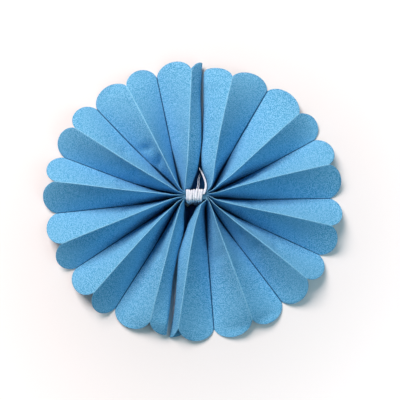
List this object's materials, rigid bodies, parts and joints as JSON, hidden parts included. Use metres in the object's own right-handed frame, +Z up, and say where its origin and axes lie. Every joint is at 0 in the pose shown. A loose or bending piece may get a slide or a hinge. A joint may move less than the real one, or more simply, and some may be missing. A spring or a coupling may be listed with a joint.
{
  "type": "paper flower ball",
  "caption": "Pleated tissue paper flower ball, laid out flat: an accordion strip with round-cut ends, tied round its middle with string and fanned into a rosette.",
  "frame": {"origin": "on the surface that the ball lies on, under the middle of its outline", "axes": "+Z up, away from the surface; +X along the folded strip, so the string crosses it; +Y across the strip, along the two seams"},
  "size_m": [0.1976, 0.184, 0.0255],
  "materials": {
    "tissue": "matte light blue tissue paper",
    "string": "soft white cotton string"
  },
  "bodies": {
    "root": {"pleated_paper": "tissue", "tie_string": "string"}
  },
  "joints": []
}
